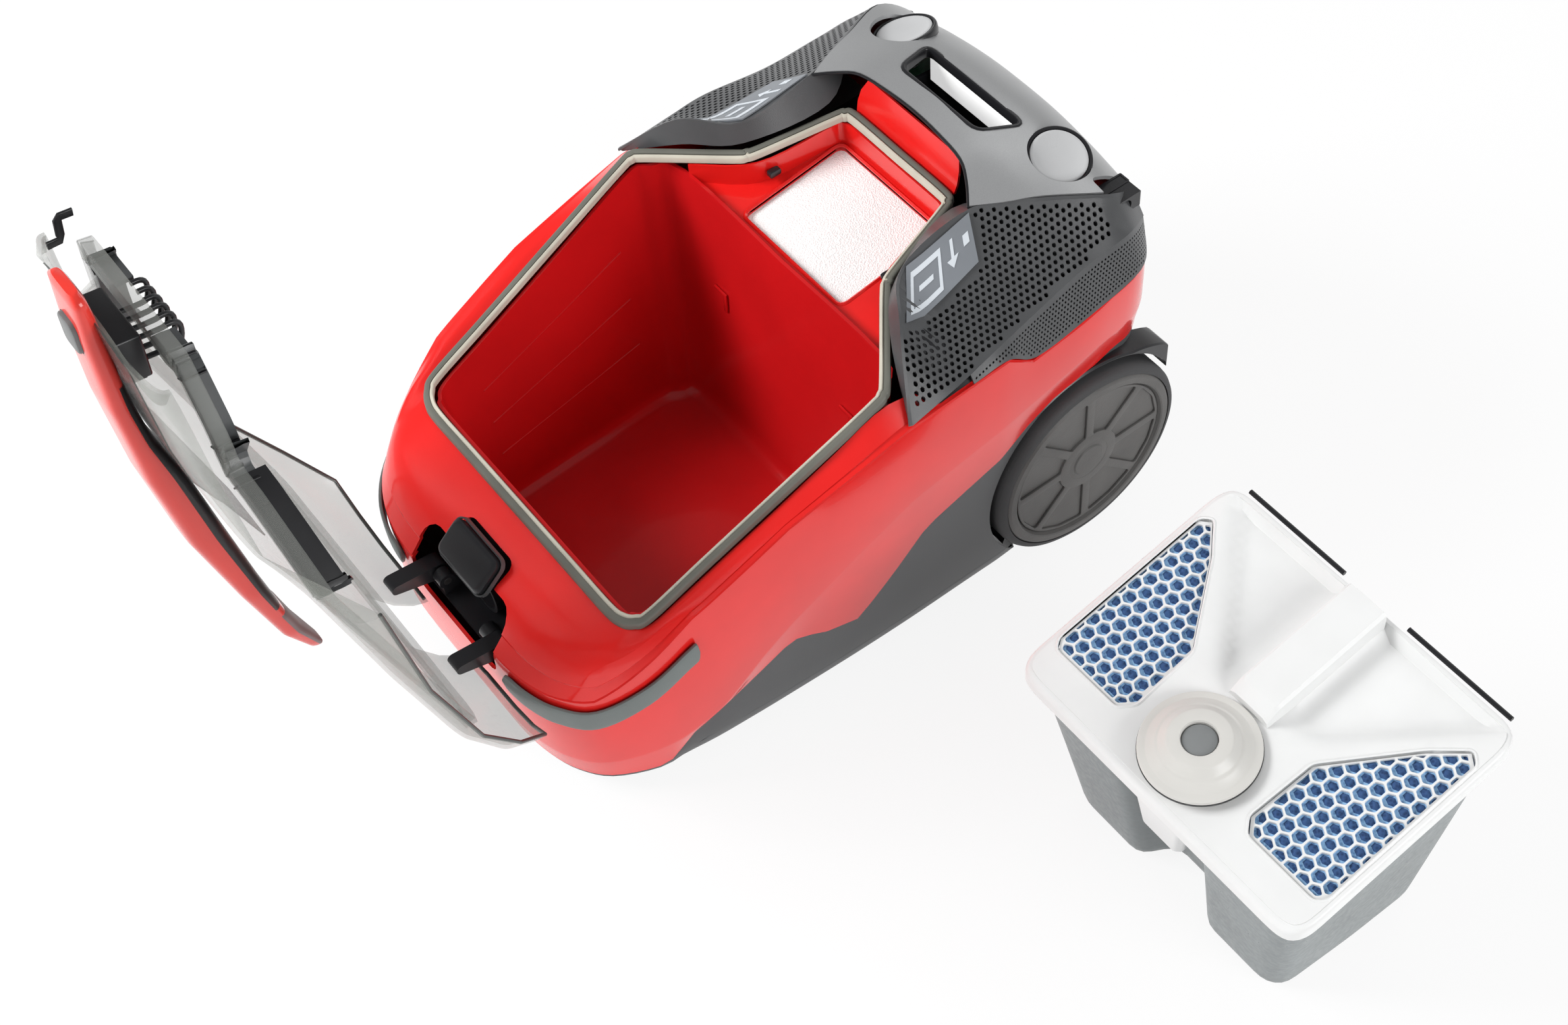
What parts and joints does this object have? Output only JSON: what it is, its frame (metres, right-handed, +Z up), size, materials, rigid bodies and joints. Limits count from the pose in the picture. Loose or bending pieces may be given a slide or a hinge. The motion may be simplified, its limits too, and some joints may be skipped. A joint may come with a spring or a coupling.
{
  "type": "canister vacuum cleaner",
  "caption": "Canister vacuum cleaner with a lift-out water filter box, clear hinged lid with carry handle, rear wheels and a front caster.",
  "frame": {"origin": "middle of the whole set-out's box, on the floor: the body with its lid open and the filter box standing on its right-hand side", "axes": "+X from the hose socket in the nose to the carry handle at the rear, +Y to the body's left, +Z up from the floor"},
  "size_m": [0.6469, 0.687, 0.5217],
  "materials": {
    "gloss_red": "glossy red moulding",
    "dark_red_inner": "glossy red tub",
    "dark_grey": "fine grained dark grey",
    "wheel_grey": "fine grained dark grey",
    "tread_rubber": "matt",
    "black_plastic": "satin black",
    "silver_cover": "satin light grey",
    "light_grey": "satin",
    "slate_panel": "satin",
    "seal_grey": "matt",
    "soft_grey": "matt",
    "clear_smoke": "clear smoked plastic",
    "handle_red": "glossy red",
    "white_plastic": "satin white",
    "smoke_tub": "smoky slate grey",
    "filter_white": "pleated paper",
    "filter_blue": "open foam",
    "steel": "bare",
    "aluminium": "die cast",
    "board_green": "circuit board"
  },
  "bodies": {
    "chassis": {"base_pan": "dark_grey", "body_shell": "gloss_red", "tub_liner": "dark_red_inner", "rear_shelf": "dark_red_inner", "tub_gasket": "seal_grey", "bumper_left": "soft_grey", "bumper_right": "soft_grey", "flank_left": "dark_grey", "flank_right": "dark_grey", "symbol_panel_left": "slate_panel", "symbol_panel_right": "slate_panel", "rear_cover": "silver_cover", "grip_liner": "black_plastic", "button_ring_power": "black_plastic", "button_ring_rewind": "black_plastic", "button_springs": "steel", "axle_left": "steel", "axle_right": "steel", "caster_bush": "black_plastic", "hose_port": "black_plastic", "hinge_block": "black_plastic", "hinge_pin": "steel", "motor_filter": "filter_white", "filter_frame": "white_plastic", "fan_housing": "dark_grey", "motor": "aluminium", "motor_mounts": "tread_rubber", "reel_frame": "dark_grey", "cable_outlet": "black_plastic", "control_board": "board_green", "exhaust_filters": "dark_grey", "body_screws": "steel"},
    "wheel_left": {"wheel_left": "wheel_grey", "tread_left": "tread_rubber"},
    "wheel_right": {"wheel_right": "wheel_grey", "tread_right": "tread_rubber"},
    "caster_fork": {"caster_fork": "black_plastic", "caster_axle": "steel"},
    "caster_wheel": {"caster_wheel": "tread_rubber"},
    "lid": {"lid_shell": "clear_smoke", "lid_frame": "black_plastic", "lid_handle": "handle_red", "lid_baffle": "black_plastic", "lid_arms": "black_plastic"},
    "lid_button": {"lid_button": "light_grey"},
    "button_power": {"button_power": "light_grey"},
    "button_rewind": {"button_rewind": "light_grey"},
    "port_latch": {"port_latch": "black_plastic"},
    "impeller": {"impeller": "aluminium"},
    "cable_reel": {"cable_reel": "black_plastic"},
    "filter_box": {"box_tub": "smoke_tub", "box_hinge_pin": "steel"},
    "filter_cover": {"box_cover": "white_plastic", "mesh_grilles": "white_plastic", "filter_media": "filter_blue", "inlet_dome": "white_plastic", "inlet_disc": "light_grey", "air_duct": "white_plastic"}
  },
  "joints": [
    {"name": "wheel_left_spin", "type": "hinge", "parent": "chassis", "child": "wheel_left", "pos_m": [0.242, 0.3285, 0.079], "axis": [0, 1, 0], "continuous": true},
    {"name": "wheel_right_spin", "type": "hinge", "parent": "chassis", "child": "wheel_right", "pos_m": [0.242, 0.0405, 0.079], "axis": [0, 1, 0], "continuous": true},
    {"name": "caster_swivel", "type": "hinge", "parent": "chassis", "child": "caster_fork", "pos_m": [-0.129, 0.1845, 0.045], "axis": [0, 0, 1], "continuous": true},
    {"name": "caster_spin", "type": "hinge", "parent": "caster_fork", "child": "caster_wheel", "pos_m": [-0.122, 0.1845, 0.015], "axis": [0, 1, 0], "continuous": true},
    {"name": "lid_hinge", "type": "hinge", "parent": "chassis", "child": "lid", "pos_m": [-0.161, 0.1845, 0.1], "axis": [0, 1, 0], "range_deg": [0, 81.5]},
    {"name": "lid_button_press", "type": "slide", "parent": "lid", "child": "lid_button", "axis": [0.999, 0, -0.0436], "range_m": [0, 0.003], "stiffness_N_per_m": 250, "springref_m": -0.002},
    {"name": "button_power_press", "type": "slide", "parent": "chassis", "child": "button_power", "axis": [0, 0.342, -0.9397], "range_m": [0, 0.004], "stiffness_N_per_m": 400, "springref_m": -0.002},
    {"name": "button_rewind_press", "type": "slide", "parent": "chassis", "child": "button_rewind", "axis": [0, -0.342, -0.9397], "range_m": [0, 0.004], "stiffness_N_per_m": 400, "springref_m": -0.002},
    {"name": "port_latch_press", "type": "slide", "parent": "chassis", "child": "port_latch", "axis": [0.6691, 0, -0.7431], "range_m": [0, 0.003], "stiffness_N_per_m": 400, "springref_m": -0.002},
    {"name": "impeller_spin", "type": "hinge", "parent": "chassis", "child": "impeller", "pos_m": [0.149, 0.1845, 0.122], "axis": [1, 0, 0], "continuous": true},
    {"name": "cable_reel_spin", "type": "hinge", "parent": "chassis", "child": "cable_reel", "pos_m": [0.274, 0.1845, 0.112], "axis": [1, 0, 0], "continuous": true},
    {"name": "filter_box_lift", "type": "slide", "parent": "chassis", "child": "filter_box", "axis": [0, 0, 1], "range_m": [0, 0.2]},
    {"name": "filter_cover_hinge", "type": "hinge", "parent": "filter_box", "child": "filter_cover", "pos_m": [0.2385, -0.2245, 0.193], "axis": [0, 1, 0], "range_deg": [0, 95]}
  ]
}
